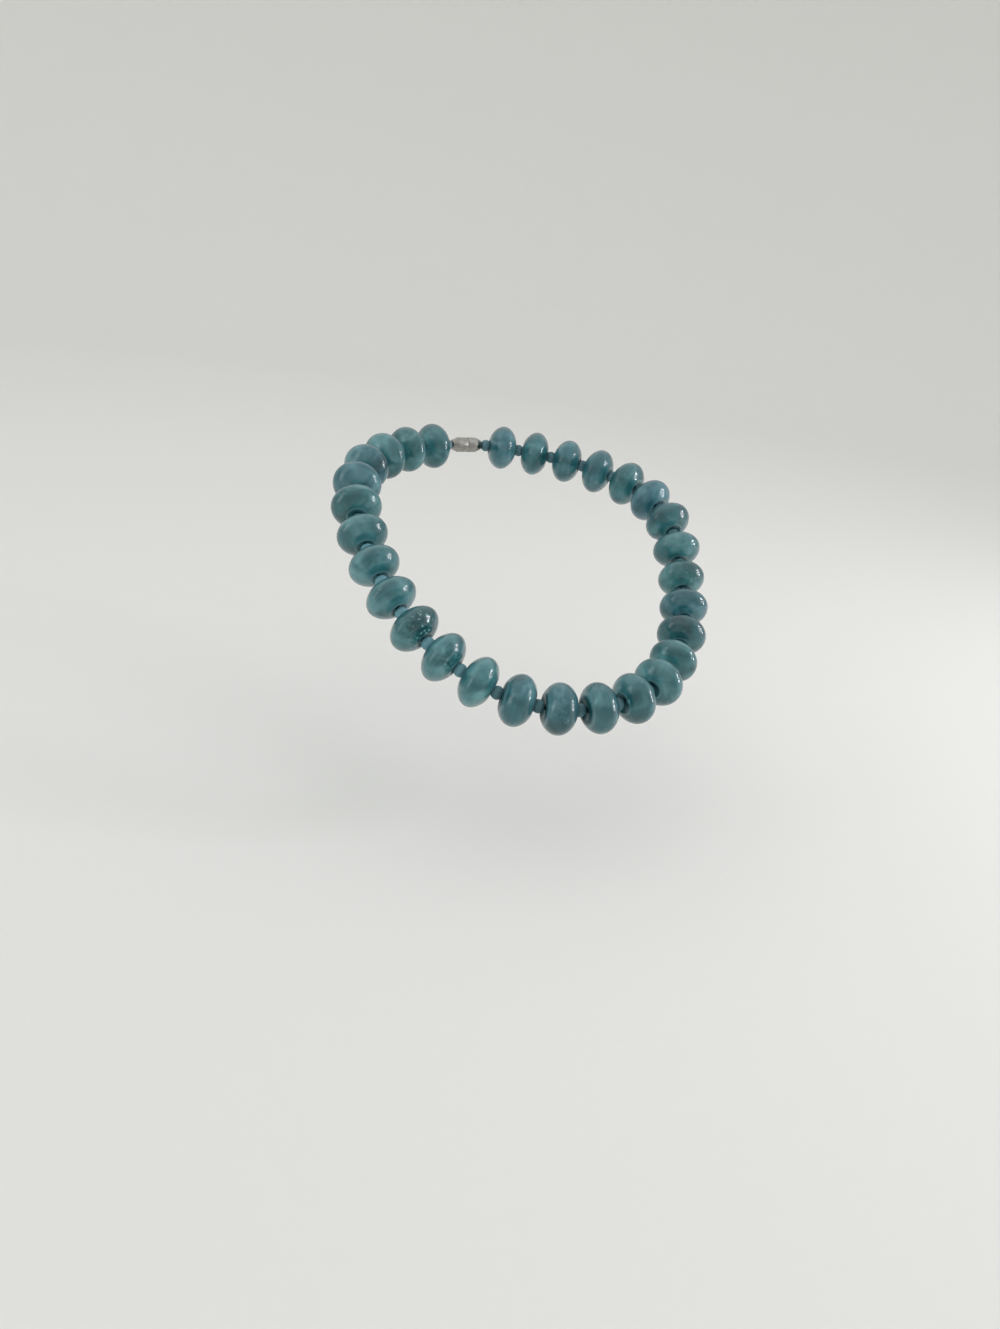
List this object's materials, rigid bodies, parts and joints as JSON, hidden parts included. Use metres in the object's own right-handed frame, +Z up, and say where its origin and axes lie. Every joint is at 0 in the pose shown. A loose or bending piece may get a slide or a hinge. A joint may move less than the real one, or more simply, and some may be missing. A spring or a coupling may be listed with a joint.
{
  "type": "beaded choker necklace",
  "caption": "Choker necklace of puckered glass rondelles with small frosted spacer beads between them on one thread, closed at the nape by a plain barrel clasp.",
  "frame": {"origin": "on the nape of the neck, at the inner side of the strand, where the necklace rests", "axes": "+Z up the wearer's neck, -Y forwards to the throat, +X to the wearer's left"},
  "size_m": [0.1477, 0.152, 0.0817],
  "materials": {
    "rondelle_glass": "polished translucent teal lampwork glass with milky swirls",
    "spacer_glass": "acid-frosted teal pressed glass, matte",
    "clasp_metal": "rhodium-plated brass, satin"
  },
  "bodies": {
    "root": {"bead_01": "rondelle_glass", "bead_02": "rondelle_glass", "bead_03": "rondelle_glass", "bead_04": "rondelle_glass", "bead_05": "rondelle_glass", "bead_06": "rondelle_glass", "bead_07": "rondelle_glass", "bead_08": "rondelle_glass", "bead_09": "rondelle_glass", "bead_10": "rondelle_glass", "bead_11": "rondelle_glass", "bead_12": "rondelle_glass", "bead_13": "rondelle_glass", "bead_14": "rondelle_glass", "bead_15": "rondelle_glass", "bead_16": "rondelle_glass", "bead_17": "rondelle_glass", "bead_18": "rondelle_glass", "bead_19": "rondelle_glass", "bead_20": "rondelle_glass", "bead_21": "rondelle_glass", "bead_22": "rondelle_glass", "bead_23": "rondelle_glass", "bead_24": "rondelle_glass", "bead_25": "rondelle_glass", "bead_26": "rondelle_glass", "bead_27": "rondelle_glass", "bead_28": "rondelle_glass", "bead_29": "rondelle_glass", "thread_and_spacers": "spacer_glass", "clasp": "clasp_metal"}
  },
  "joints": []
}
